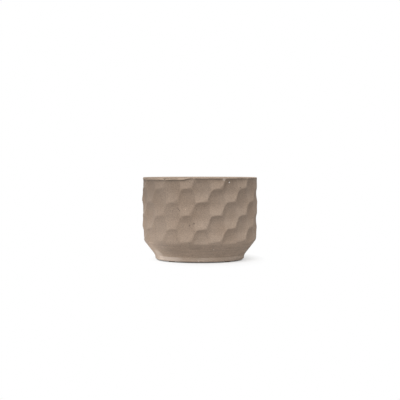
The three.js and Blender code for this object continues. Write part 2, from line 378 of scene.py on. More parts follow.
class Shader(Nodes):
    """A material's nodes, with ways to add the textures and tones of a finish. Lengths are in metres."""

    def __init__(self, name: str) -> None:
        """Starts a material that has only its surface shader.

        Args:
            name: The material's name.
        """
        self.material = bpy.data.materials.new(name)
        self.material.use_nodes = True
        super().__init__(self.material.node_tree)
        self.surface = self.tree.nodes["Principled BSDF"]
        self.place = self.add("ShaderNodeTexCoord").outputs["Object"]

    def stretched(self, along: Factors) -> bpy.types.NodeSocket:
        """Gives the place on the piece with each axis scaled.

        Args:
            along: Factor for X, Y and Z: below 1, features grow longer that way.

        Returns:
            The scaled place's socket.
        """
        node = self.add("ShaderNodeMapping")
        self.join(self.place, node.inputs["Vector"])
        node.inputs["Scale"].default_value = along
        return node.outputs["Vector"]

    def height(self) -> bpy.types.NodeSocket:
        """Gives the height above the surface that the pot stands on."""
        node = self.add("ShaderNodeSeparateXYZ")
        self.join(self.place, node.inputs["Vector"])
        return node.outputs["Z"]

    def distance(self, point: Vector) -> bpy.types.NodeSocket:
        """Gives the distance from a point of the piece."""
        node = self.add("ShaderNodeVectorMath")
        node.operation = "DISTANCE"
        self.join(self.place, node.inputs[0])
        node.inputs[1].default_value = point
        return node.outputs["Value"]

    def grain(self, size: float, detail: float = 2.0, place: object = None) -> bpy.types.NodeSocket:
        """Adds soft noise.

        Args:
            size: About the size of its features.
            detail: How many finer layers it has.
            place: Where it is read, if not at the plain place on the piece.

        Returns:
            The socket of its values, mostly from 0.3 to 0.7.
        """
        node = self.add("ShaderNodeTexNoise")
        self.join(place or self.place, node.inputs["Vector"])
        node.inputs["Scale"].default_value = 1 / size
        node.inputs["Detail"].default_value = detail
        return node.outputs["Fac"]

    def band(self, value: object, low: float, high: float, start: float = 0.0,
             end: float = 1.0) -> bpy.types.NodeSocket:
        """Maps a stretch of values to another, clamped and eased at both ends.

        Args:
            value: The socket that is mapped.
            low: Value that gives start.
            high: Value that gives end.
            start: First result.
            end: Last result.

        Returns:
            The result's socket.
        """
        node = self.add("ShaderNodeMapRange")
        node.interpolation_type = "SMOOTHSTEP"
        self.join(value, node.inputs["Value"])
        node.inputs["From Min"].default_value = low
        node.inputs["From Max"].default_value = high
        node.inputs["To Min"].default_value = start
        node.inputs["To Max"].default_value = end
        return node.outputs["Result"]

    def spots(self, kind: Spots) -> bpy.types.NodeSocket:
        """Adds scattered round spots.

        Args:
            kind: The kind of spots.

        Returns:
            A socket that is 1 in a spot and 0 outside.
        """
        node = self.add("ShaderNodeTexVoronoi")
        self.join(self.place, node.inputs["Vector"])
        node.inputs["Scale"].default_value = 1 / kind.spacing
        parts = self.add("ShaderNodeSeparateColor")
        self.join(node.outputs["Color"], parts.inputs["Color"])
        largest = kind.radius / kind.spacing
        held = self.math("LESS_THAN", parts.outputs["Red"], kind.held)
        reach = self.math("MULTIPLY", parts.outputs["Green"], largest)
        inside = self.math("SUBTRACT", reach, node.outputs["Distance"])
        return self.math("MULTIPLY", self.band(inside, 0.0, largest * kind.edge), held)

    def blend(self, share: object, under: object, over: object) -> bpy.types.NodeSocket:
        """Lays one colour over another.

        Args:
            share: How much of the upper colour shows.
            under: The lower colour.
            over: The upper colour.

        Returns:
            The mixed colour's socket.
        """
        node = self.add("ShaderNodeMix")
        node.data_type = "RGBA"
        self.join(share, node.inputs["Factor"])
        self.join(under, node.inputs["A"])
        self.join(over, node.inputs["B"])
        return node.outputs["Result"]

    def darken(self, share: object, colour: object, most: float) -> bpy.types.NodeSocket:
        """Darkens a colour, where and as far as a share says.

        Args:
            share: How much of the darkening shows.
            colour: The colour.
            most: The part of its brightness that it loses at a share of 1.

        Returns:
            The darkened colour's socket.
        """
        result = self.blend(share, colour, (1 - most, 1 - most, 1 - most))
        result.node.blend_type = "MULTIPLY"
        return result

    def stored(self, name: str) -> bpy.types.NodeSocket:
        """Reads a value that the mesh stores at its points."""
        node = self.add("ShaderNodeAttribute")
        node.attribute_name = name
        return node.outputs["Fac"]

    def relief(self, height: object, tall: float, below: object = None) -> bpy.types.NodeSocket:
        """Adds a fine relief to the surface.

        Args:
            height: Socket with heights from 0 to 1.
            tall: What a height of 1 stands for.
            below: Another relief that this one lies on.

        Returns:
            The socket of the tilted normals.
        """
        node = self.add("ShaderNodeBump")
        node.inputs["Strength"].default_value = 1.0
        node.inputs["Distance"].default_value = tall
        self.join(height, node.inputs["Height"])
        if below is not None:
            self.join(below, node.inputs["Normal"])
        return node.outputs["Normal"]

    def finish(self, **sockets: object) -> bpy.types.Material:
        """Feeds the surface shader.

        Args:
            **sockets: What each of its sockets takes, with _ for a space in the socket's name.

        Returns:
            The finished material.
        """
        for name, source in sockets.items():
            words = " ".join(word if word in ("IOR", "of") else word.capitalize() for word in name.split("_"))
            self.join(source, self.surface.inputs[words])
        return self.material


def shade_of(colour: Colour, factor: float) -> Colour:
    """Gives a lighter or a darker shade of a colour."""
    return tuple(min(1.0, part * factor) for part in colour)


@dataclass(frozen=True)
class Tint:
    """A shade of the clay that shows in places.

    Attributes:
        strength: How much of it shows at most.
        factor: What the clay's colour is multiplied by.
        span: Where it starts to show and where all of it shows, in the values that it goes by. Without a
            span, those values are the part of it that shows.
    """

    strength: float
    factor: float
    span: Pair | None = None

    def over(self, shader: Shader, colour: object, clay: Colour, value: object) -> bpy.types.NodeSocket:
        """Lays the shade over a colour.

        Args:
            shader: The material's nodes.
            colour: The colour so far.
            clay: The clay's own colour.
            value: Socket of the values that it goes by.

        Returns:
            The mixed colour's socket.
        """
        shown = value if self.span is None else shader.band(value, *self.span)
        share = shader.math("MULTIPLY", shown, self.strength)
        return shader.blend(share, colour, shade_of(clay, self.factor))


@dataclass(frozen=True)
class Mark:
    """A fleck, chip or pit that the kiln and handling left in the clay, or a broad patch of painted shade or
    of painted light.

    Attributes:
        angle: Where it is, in degrees from the front towards +X.
        height: Its height.
        size: Its radius.
        tone: Its shade: below 1, a factor of the clay's colour, and above 1, that much nearer to white.
        share: How much of that shade shows.
        core: Part of its radius inside which it is strongest.
    """

    angle: float
    height: float
    size: float
    tone: float
    share: float = 0.7
    core: float = 0.5

    def colour(self, clay: Colour) -> Colour:
        """Gives the mark's colour.

        Args:
            clay: The colour of the clay round it.

        Returns:
            The colour.
        """
        if self.tone <= 1:
            return shade_of(clay, self.tone)
        return tuple(part + (1 - part) * (self.tone - 1) for part in clay)


def angles_and_heights(marks: tuple[Mark, ...]) -> tuple[np.ndarray, np.ndarray]:
    """Gives the angles in degrees and the heights of some marks."""
    return np.array([mark.angle for mark in marks]), np.array([mark.height for mark in marks])


@dataclass(frozen=True)
class StonewareFinish:
    """Fired stoneware: sandy brown-grey clay with iron specks, pinholes and fine grain.

    Low down, on the slope and the foot, the turning tool left fine lines and level streaks.

    Attributes:
        name: The material's name.
        clay: Mean colour.
        warmth: Factors of its red, green and blue in the warmer patches.
        patches: Size of the warmer and cooler patches.
        patch_factors: Shades of the warmer and of the cooler patches.
        clouds: Size of the small clouds.
        cloud_tint: Their tint.
        painted_shade_upward: Painted shade: two stretches of height over which the clay darkens upward, each
            with by how much.
        turned_below: Height under which the marks of turning show.
        turned_ease: Height over which they fade out.
        streaks: Size of the level streaks.
        streak_run: How they are stretched.
        streak_shade: How much they darken the clay.
        sand: Size of the sandy grain.
        sand_shade: How much it darkens the clay.
        grit: Size of the finest grain.
        grit_shade: How much it darkens the clay.
        grog: Pale grains.
        grog_tint: Their tint.
        iron: Iron specks.
        iron_strength: How much of their colour shows.
        iron_colour: Their colour.
        pinholes: Small holes.
        pinhole_tint: Their tint.
        relief: Height of the surface's relief.
        sand_relief: The sand's part of it.
        grit_relief: The finest grain's part of it.
        pinhole_relief: How deep the pinholes go in it.
        lines: Size of the fine turning lines.
        line_run: How they are stretched.
        line_relief: Their height.
        line_rest: How much of them is left on the carved wall.
        roughness: Roughness between and in the clouds.
        shine: How much light the surface mirrors.
    """

    name: str
    clay: Colour
    warmth: Factors = (1.03, 0.99, 0.95)
    patches: float = 28.0 * MM
    patch_factors: Pair = (0.95, 1.05)
    clouds: float = 6.0 * MM
    cloud_tint: Tint = Tint(0.5, 1.09)
    painted_shade_upward: tuple[tuple[float, float, float], ...] = (
        (62.0 * MM, 98.0 * MM, 0.14),
        (22.0 * MM, 62.0 * MM, 0.11),
    )
    turned_below: float = 23.0 * MM
    turned_ease: float = 2.0 * MM
    streaks: float = 1.5 * MM
    streak_run: Factors = (0.05, 0.05, 1.0)
    streak_shade: float = 0.125
    sand: float = 1.3 * MM
    sand_shade: float = 0.144
    grit: float = 0.4 * MM
    grit_shade: float = 0.27
    grog: Spots = Spots(5.5 * MM, 0.7 * MM, 0.22)
    grog_tint: Tint = Tint(0.5, 1.7)
    iron: Spots = Spots(4.2 * MM, 0.75 * MM, 0.3)
    iron_strength: float = 0.6
    iron_colour: Colour = (0.075, 0.052, 0.038)
    pinholes: Spots = Spots(2.6 * MM, 0.42 * MM, 0.35)
    pinhole_tint: Tint = Tint(0.5, 0.4)
    relief: float = 0.3 * MM
    sand_relief: float = 0.4
    grit_relief: float = 0.35
    pinhole_relief: float = 0.8
    lines: float = 1.1 * MM
    line_run: Factors = (0.03, 0.03, 1.0)
    line_relief: float = 0.26 * MM
    line_rest: float = 0.12
    roughness: Pair = (0.72, 0.86)
    shine: float = 0.25

    def low_down(self, shader: Shader, level: object, above: float) -> bpy.types.NodeSocket:
        """Gives 1 on the turned slope and foot, and another value on the wall above them."""
        return shader.band(level, self.turned_below - self.turned_ease, self.turned_below, 1.0, above)

    def fired_and_shaded(self, shader: Shader, level: object, clouds: object) -> bpy.types.NodeSocket:
        """Gives the fired clay's colour in its patches and clouds, with painted shade that grows darker
        upward, before wear and the other painted light and shade show on it.

        Args:
            shader: The material's nodes.
            level: Socket of the height.
            clouds: Socket of the clouds.

        Returns:
            The colour's socket.
        """
        warm = tuple(part * factor for part, factor in zip(self.clay, self.warmth))
        under, over = self.patch_factors
        patches = shader.band(shader.grain(self.patches), *NOISE_SPAN)
        colour = shader.blend(patches, shade_of(warm, under), shade_of(self.clay, over))
        colour = self.cloud_tint.over(shader, colour, self.clay, clouds)
        # Painted shade: the wall grows darker upward, over two stretches of height.
        for low, high, most in self.painted_shade_upward:
            colour = shader.darken(shader.band(level, low, high), colour, most)
        return colour

    def wear_and_painted_light(self, shader: Shader, colour: object, level: object) -> bpy.types.NodeSocket:
        """Gives the colour with wear, drips and painted light and shade: plain clay has none."""
        return colour

    def material(self, marks: tuple[Mark, ...], places: np.ndarray) -> bpy.types.Material:
        """Builds the material.

        Args:
            marks: The piece's single marks.
            places: Where each of them is.

        Returns:
            The finished material.
        """
        shader = Shader(self.name)
        level = shader.height()
        clouds = shader.band(shader.grain(self.clouds, 3.0), *NOISE_SPAN)
        sand = shader.band(shader.grain(self.sand), *NOISE_SPAN)
        grit = shader.grain(self.grit, 1.0)
        pinholes = shader.spots(self.pinholes)
        colour = self.wear_and_painted_light(shader, self.fired_and_shaded(shader, level, clouds), level)
        streaks = shader.grain(self.streaks, 2.0, shader.stretched(self.streak_run))
        streaks = shader.band(streaks, *NOISE_CORE)
        streaks = shader.math("MULTIPLY", streaks, self.low_down(shader, level, 0.0))
        colour = shader.darken(streaks, colour, self.streak_shade)
        colour = shader.darken(shader.band(sand, 1.0, 0.0), colour, self.sand_shade)
        colour = shader.darken(shader.band(grit, *reversed(NOISE_CORE)), colour, self.grit_shade)
        colour = self.grog_tint.over(shader, colour, self.clay, shader.spots(self.grog))
        iron = shader.math("MULTIPLY", shader.spots(self.iron), self.iron_strength)
        colour = shader.blend(iron, colour, self.iron_colour)
        colour = self.pinhole_tint.over(shader, colour, self.clay, pinholes)
        for mark, place in zip(marks, places):
            away = shader.distance(Vector(place))
            inside = shader.band(away, mark.size, mark.size * mark.core, 0.0, mark.share)
            colour = shader.blend(inside, colour, mark.colour(self.clay))
        height = shader.math("MULTIPLY", sand, self.sand_relief)
        height = shader.math("ADD", height, shader.math("MULTIPLY", grit, self.grit_relief))
        height = shader.math("SUBTRACT", height, shader.math("MULTIPLY", pinholes, self.pinhole_relief))
        normal = shader.relief(height, self.relief)
        lines = shader.grain(self.lines, 2.0, shader.stretched(self.line_run))
        lines = shader.math("MULTIPLY", lines, self.low_down(shader, level, self.line_rest))
        normal = shader.relief(lines, self.line_relief, normal)
        roughness = shader.band(clouds, 0.0, 1.0, *self.roughness)
        return shader.finish(base_color=colour, roughness=roughness, normal=normal,
                             specular_IOR_level=self.shine)


@dataclass(frozen=True)
class CarvedStoneware(StonewareFinish):
    """Stoneware of the wall and the slope, with lighter ridges and faint drips, and painted light and shade
    that follow the carving, the lip and the slope.

    Attributes:
        ridges: Tint of the ridges between the scoops.
        shaded_hollows: Painted shade in the scoops' deepest parts.
        lit_scoop_ends: Painted light on the scoops' lower ends, which face up.
        shaded_scoop_tops: Painted shade on the scoops' tops, under their steep upper edges.
        shadow_under_lip: Painted shadow right under the lip, where it stands out over the scoops.
        worn_and_lit_lip: Tint of the lip: wear, and painted light on its upward faces.
        shaded_shoulder: Painted shade from the slope up to the lowest scoops.
        lit_low_slope: Painted light on the slope's lower part, as if from the floor below.
        drips: Tint of the faint upright streaks.
        drip_size: Their width.
        drip_run: How they are stretched.
        drip_span: Where they start to show in their noise, and where they are strongest.
        drip_rest: How much of them is left on the carved wall.
    """

    ridges: Tint = Tint(0.12, 1.35, (0.25, 0.0))
    shaded_hollows: Tint = Tint(0.072, 0.7, (0.35, 1.0))
    lit_scoop_ends: Tint = Tint(0.27, 1.4, (0.5, 0.12))
    shaded_scoop_tops: Tint = Tint(0.27, 0.6, (0.55, 0.95))
    shadow_under_lip: Tint = Tint(0.6, 0.5)
    worn_and_lit_lip: Tint = Tint(0.7, 1.55)
    shaded_shoulder: Tint = Tint(0.28, 0.75, (36.0 * MM, 22.0 * MM))
    lit_low_slope: Tint = Tint(0.3, 1.45, (17.0 * MM, 7.0 * MM))
    drips: Tint = Tint(0.3, 0.72)
    drip_size: float = 6.0 * MM
    drip_run: Factors = (1.0, 1.0, 0.06)
    drip_span: Pair = (0.5, 0.7)
    drip_rest: float = 0.4

    def wear_and_painted_light(self, shader: Shader, colour: object, level: object) -> bpy.types.NodeSocket:
        """Adds lighter ridges, faint drips, wear on the lip, and painted light and shade that follow the
        carving, the lip and the slope.

        Args:
            shader: The material's nodes.
            colour: The clay's colour so far.
            level: Socket of the height.

        Returns:
            The colour's socket.
        """
        hollow = shader.stored("hollow")
        along_scoop = shader.stored("along_scoop")
        drips = shader.grain(self.drip_size, 1.0, shader.stretched(self.drip_run))
        drips = shader.band(drips, *self.drip_span)
        # Besides the lighter ridges and the drips, these are painted light and shade: shaded hollows, lit
        # lower ends and shaded tops of the scoops, a shadow under the lip, light on the lip with its wear, a
        # shaded shoulder and a lit lower slope.
        tones = (
            (self.ridges, hollow),
            (self.shaded_hollows, hollow),
            (self.lit_scoop_ends, along_scoop),
            (self.shaded_scoop_tops, along_scoop),
            (self.shadow_under_lip, shader.stored("shadow_under_lip")),
            (self.worn_and_lit_lip, shader.stored("lip_wear_and_light")),
            (self.shaded_shoulder, level),
            (self.lit_low_slope, level),
            (self.drips, shader.math("MULTIPLY", drips, self.low_down(shader, level, self.drip_rest))),
        )
        for tint, value in tones:
            colour = tint.over(shader, colour, self.clay, value)
        return colour


@dataclass(frozen=True)
class GlazeFinish:
    """Clear brown liner glaze over the clay, with darker runs and a few specks.

    Attributes:
        thin: Colour where it is thin.
        thick: Colour where it is thick.
        mottle: Size of its mottling.
        mottle_factor: Shade of the mottling.
        mottle_span: Where the mottling starts in its noise, and where all of it shows.
        runs: Width of the darker runs.
        run: How they are stretched.
        specks: Its specks.
        speck_colour: Their colour.
        swell: Size of its soft swells.
        swell_relief: Their height.
        roughness: Roughness between and in the mottling.
        roughness_span: Where that change starts and ends in the mottling's noise.
        coat: Strength of the glassy coat.
        coat_roughness: Roughness of the coat.
    """

    thin: Colour = (0.2, 0.145, 0.1)
    thick: Colour = (0.115, 0.08, 0.055)
    mottle: float = 2.2 * MM
    mottle_factor: float = 1.2
    mottle_span: Pair = (0.35, 0.68)
    runs: float = 16.0 * MM
    run: Factors = (1.0, 1.0, 0.25)
    specks: Spots = Spots(5.0 * MM, 0.6 * MM, 0.25)
    speck_colour: Colour = (0.05, 0.035, 0.025)
    swell: float = 5.0 * MM
    swell_relief: float = 0.12 * MM
    roughness: Pair = (0.12, 0.28)
    roughness_span: Pair = (0.3, 0.75)
    coat: float = 0.6
    coat_roughness: float = 0.08

    def material(self) -> bpy.types.Material:
        """Builds the material.

        Returns:
            The finished material.
        """
        shader = Shader("liner_glaze")
        runs = shader.grain(self.runs, 2.0, shader.stretched(self.run))
        mottle = shader.grain(self.mottle, 3.0)
        paler = shade_of(self.thin, self.mottle_factor)
        colour = shader.blend(shader.band(mottle, *self.mottle_span), self.thin, paler)
        colour = shader.blend(shader.band(runs, *NOISE_SPAN), colour, self.thick)
        colour = shader.blend(shader.spots(self.specks), colour, self.speck_colour)
        normal = shader.relief(shader.grain(self.swell, 1.0), self.swell_relief)
        roughness = shader.band(mottle, *self.roughness_span, *self.roughness)
        return shader.finish(base_color=colour, roughness=roughness, normal=normal, coat_weight=self.coat,
                             coat_roughness=self.coat_roughness)


@dataclass(frozen=True)
class SiliconeFinish:
    """Dark moulded silicone, softly matt, with a little dust.

    Attributes:
        rubber: The silicone's colour.
        dust: The dust's colour.
        dust_size: Size of the dusty patches.
        dust_share: How much of the dust shows.
        dust_span: Where it starts to show in its noise, and where it is thickest.
        grain: Size of the mould's grain.
        grain_relief: Its height.
        roughness: Roughness where it is clean and where it is dusty.
    """

    rubber: Colour = (0.07, 0.058, 0.05)
    dust: Colour = (0.19, 0.165, 0.14)
    dust_size: float = 2.4 * MM
    dust_share: float = 0.25
    dust_span: Pair = (0.5, 0.75)
    grain: float = 0.35 * MM
    grain_relief: float = 0.05 * MM
    roughness: Pair = (0.5, 0.72)

    def material(self) -> bpy.types.Material:
        """Builds the material.

        Returns:
            The finished material.
        """
        shader = Shader("plug_silicone")
        dust = shader.band(shader.grain(self.dust_size, 4.0), *self.dust_span, 0.0, self.dust_share)
        colour = shader.blend(dust, self.rubber, self.dust)
        normal = shader.relief(shader.grain(self.grain), self.grain_relief)
        roughness = shader.band(dust, 0.0, self.dust_share, *self.roughness)
        return shader.finish(base_color=colour, roughness=roughness, normal=normal)


@dataclass(frozen=True)
class FeltFinish:
    """Dense brown wool felt.

    Attributes:
        wool: The wool's colour.
        fibres: Thickness of the fibres.
        fibre_run: How they are stretched.
        fibre_factors: Shades of the darkest and of the lightest fibres.
        tufts: Size of the tufts.
        tuft_factor: Shade of the tufts.
        tuft_span: Where they start to show in their noise, and where they are palest.
        tuft_share: How much of their shade shows there.
        relief: Height of fibres and tufts.
        roughness: Roughness all over.
        sheen: Strength of the soft sheen.
        sheen_roughness: How far the sheen spreads.
    """

    wool: Colour = (0.105, 0.061, 0.034)
    fibres: float = 0.35 * MM
    fibre_run: Factors = (1.0, 0.3, 1.0)
    fibre_factors: Pair = (0.65, 1.5)
    tufts: float = 1.2 * MM
    tuft_factor: float = 2.0
    tuft_span: Pair = (0.5, 0.8)
    tuft_share: float = 0.5
    relief: float = 0.25 * MM
    roughness: float = 0.95
    sheen: float = 0.35
    sheen_roughness: float = 0.6

    def material(self) -> bpy.types.Material:
        """Builds the material.

        Returns:
            The finished material.
        """
        shader = Shader("pad_felt")
        fibres = shader.grain(self.fibres, 3.0, shader.stretched(self.fibre_run))
        tufts = shader.grain(self.tufts, 3.0)
        dark, light = (shade_of(self.wool, factor) for factor in self.fibre_factors)
        colour = shader.blend(shader.band(fibres, *NOISE_CORE), dark, light)
        pale = shader.band(tufts, *self.tuft_span, 0.0, self.tuft_share)
        colour = shader.blend(pale, colour, shade_of(self.wool, self.tuft_factor))
        normal = shader.relief(shader.math("ADD", fibres, tufts), self.relief)
        return shader.finish(base_color=colour, roughness=self.roughness, normal=normal,
                             sheen_weight=self.sheen, sheen_roughness=self.sheen_roughness)


@dataclass(frozen=True)
class PotLevels:
    """Heights and radii that the model gives, in metres."""

    underside: float
    rim: float
    ridge_radius: float
    foot_radius: float
    foot_base: float
    inside_floor: float
    glaze_radius: float
    glaze_top: float

    @property
    def foot_height(self) -> float:
        """Height of the foot ring."""
        return self.underside - self.foot_base

    @classmethod
    def from_frame(cls) -> "PotLevels":
        """Reads the levels from the model's boxes."""
        body_low, body_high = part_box("pot_body")
        foot_low, foot_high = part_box("foot_ring")
        glaze_low, glaze_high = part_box("inner_glaze")
        return cls(
            underside=body_low.z,
            rim=body_high.z,
            ridge_radius=body_high.x,
            foot_radius=foot_high.x,
            foot_base=foot_low.z,
            inside_floor=glaze_low.z,
            glaze_radius=glaze_high.x,
            glaze_top=glaze_high.z,
        )


@dataclass(frozen=True)
class Flank:
    """The turned outside below the carving: a slope that runs softly out into the upright foot.

    Attributes:
        levels: The model's levels.
        slope_height: Height of the slope.
        slope_run: How far it runs out.
        foot_taper: How much wider the foot is at its top than at its base.
        softness: Size of the soft hollow where the slope meets the foot.
    """

    levels: PotLevels
    slope_height: float = 16.6 * MM
    slope_run: float = 13.0 * MM
    foot_taper: float = 0.8 * MM
    softness: float = 0.55 * MM

    @property
    def shoulder(self) -> float:
        """Height at which the slope meets the turned wall."""
        return self.levels.underside + self.slope_height

    @property
    def steepness(self) -> float:
        """How far the slope rises for each length that it runs out."""
        return self.slope_height / self.slope_run

    def radius(self, height: np.ndarray) -> np.ndarray:
        """Gives the radius of the foot and the slope.

        Args:
            height: Heights.

        Returns:
            The radius at each height.
        """
        above = height - self.levels.underside
        foot = self.levels.foot_radius + self.foot_taper * above / self.levels.foot_height
        slope = self.levels.foot_radius + above / self.steepness
        wider = np.maximum(foot, slope)
        spread = np.exp((foot - wider) / self.softness) + np.exp((slope - wider) / self.softness)
        return wider + self.softness * np.log(spread)

    def across(self, wall: float) -> float:
        """Gives the level distance through a slope's wall of some thickness."""
        return wall * math.hypot(1, 1 / self.steepness)

    def inner_radius(self, height: float, wall: float) -> float:
        """Gives the radius of the slope's inner side at a height, behind a wall of some thickness."""
        outer = self.levels.foot_radius + (height - self.levels.underside) / self.steepness
        return outer - self.across(wall)

    def inner_height(self, radius: float, wall: float) -> float:
        """Gives the height where the slope's inner side has a radius, behind a wall of some thickness."""
        outward = radius + self.across(wall) - self.levels.foot_radius
        return self.levels.underside + outward * self.steepness


@dataclass(frozen=True)
class FaintSide:
    """A side of the pot where the scoops are carved less deeply.

    Attributes:
        angle: Its middle, in degrees from the front towards +X.
        reach: How many degrees it reaches to either side.
        share: How much less deep the scoops are in its middle.
    """

    angle: float
    reach: float
    share: float

    def kept(self, angle: np.ndarray) -> np.ndarray:
        """Gives the share of the depth that is kept at some angles, in degrees."""
        aside = ((angle - self.angle + 180) % 360 - 180) / self.reach
        return 1 - self.share * np.exp(-aside ** 2)


@dataclass(frozen=True)
class Carving:
    """Upright scoops in staggered columns, each deepest below its middle and steep at its top.

    Angles are in degrees. Depths are measured in from the turned wall. Rises are shares of the depth.

    Attributes:
        columns: Columns of scoops round the pot.
        scoop_height: Height of a scoop.
        lowest_edge: Height of the lower ends in every second column.
        first_column: Angle of the first column's middle.
        lean: How far a scoop leans over from its lower end to its top.
        depth: Depth of a scoop.
        deepest_along: Where it is deepest, as a share of its height.
        end_rise: How far it rises to its ends.
        upper_power: How late the rise to its top begins.
        lower_power: How late the rise to its lower end begins.
        deepest_across: Where it is deepest across, from -1 at its left side to 1 at its right.
        side_rise: How far it rises to its sides.
        side_power: How late the rise to its sides begins.
        faded: Height over which the scoops grow shallower at the lip and at the shoulder.
        fade_share: How much shallower they are there.
        faint_sides: Sides of the pot where they are shallower.
        edge_softness: Size of the soft ridges between them.
        reaches: How far past its ends and sides the formula of a scoop is worked out.
    """

    columns: int = 24
    scoop_height: float = 31.1 * MM
    lowest_edge: float = 25.0 * MM
    first_column: float = -13.4
    lean: float = 5.1
    depth: float = 3.8 * MM
    deepest_along: float = 0.42
    end_rise: float = 0.95
    upper_power: float = 4.3
    lower_power: float = 1.5
    deepest_across: float = -0.12
    side_rise: float = 0.5
    side_power: float = 3.0
    faded: float = 6.0 * MM
    fade_share: float = 0.6
    faint_sides: tuple[FaintSide, ...] = (FaintSide(-40.0, 30.0, 0.4), FaintSide(87.0, 20.0, 0.52))
    edge_softness: float = 0.32 * MM
    reaches: float = 3.0

    def kept(self, angle: np.ndarray, height: np.ndarray, low: float, high: float) -> np.ndarray:
        """Gives how much of the depth is kept: less near two levels, and less on the pot's faint sides.

        Args:
            angle: Angles, in degrees.
            height: Heights.
            low: The lower level.
            high: The upper level.

        Returns:
            The share that is kept at each place.
        """
        near = np.clip(np.minimum(height - low, high - height) / self.faded, 0, 1)
        return (1 - self.fade_share * (1 - near) ** 2) * self.kept_round(angle)

    def kept_round(self, angle: np.ndarray) -> np.ndarray:
        """Gives how much of the depth the faint sides keep at some angles, in degrees."""
        return math.prod(side.kept(angle) for side in self.faint_sides)

    def scoops(self, angle: np.ndarray, height: np.ndarray, column: np.ndarray) -> list[tuple]:
        """Gives how deep the scoops of some columns go at some places, and where in its scoop each place is.

        Args:
            angle: Angles, in degrees.
            height: Heights.
            column: Numbers of the columns.

        Returns:
            A depth and a place along the scoop, 0 at its lower end and 1 at its top, for the scoop that the
            height falls in and for the two above and below it.
        """
        stagger = (column % 2) / 2
        place = (height - self.lowest_edge) / self.scoop_height - stagger
        middle = self.first_column + column * 360 / self.columns
        found = []
        for shift in (-1, 0, 1):
            along = place - np.floor(place) - shift
            across = (angle - middle - self.lean * (along - 0.5)) / (180 / self.columns)
            below = np.clip((self.deepest_along - along) / self.deepest_along, 0, self.reaches)
            above = np.clip((along - self.deepest_along) / (1 - self.deepest_along), 0, self.reaches)
            rise = self.end_rise * (below ** self.lower_power + above ** self.upper_power)
            aside = across - self.deepest_across
            aside = np.where(aside > 0, aside / (1 - self.deepest_across), -aside / (1 + self.deepest_across))
            found.append((self.depth * (1 - rise - self.side_rise * aside ** self.side_power), along))
        return found

    def at(self, angle: np.ndarray, height: np.ndarray) -> tuple[np.ndarray, np.ndarray]:
        """Gives how deep the wall is carved at some places, and where in its scoop each place is.

        Args:
            angle: Angles, in degrees.
            height: Heights.

        Returns:
            The depth, with the ridges between the scoops softly rounded, and the place along the scoop.
        """
        angle, height = np.broadcast_arrays(angle, height)
        nearest = np.round((angle - self.first_column) * self.columns / 360)
        every = [(np.zeros(angle.shape), np.full(angle.shape, 0.5))]
        for beside in (-1, 0, 1):
            every.extend(self.scoops(angle, height, nearest + beside))
        depths = np.stack([depth for depth, _ in every])
        places = np.stack([place for _, place in every])
        deepest = depths.max(axis=0)
        weight = np.exp((depths - deepest) / self.edge_softness)
        total = weight.sum(axis=0)
        return deepest + self.edge_softness * np.log(total), (weight * places).sum(axis=0) / total


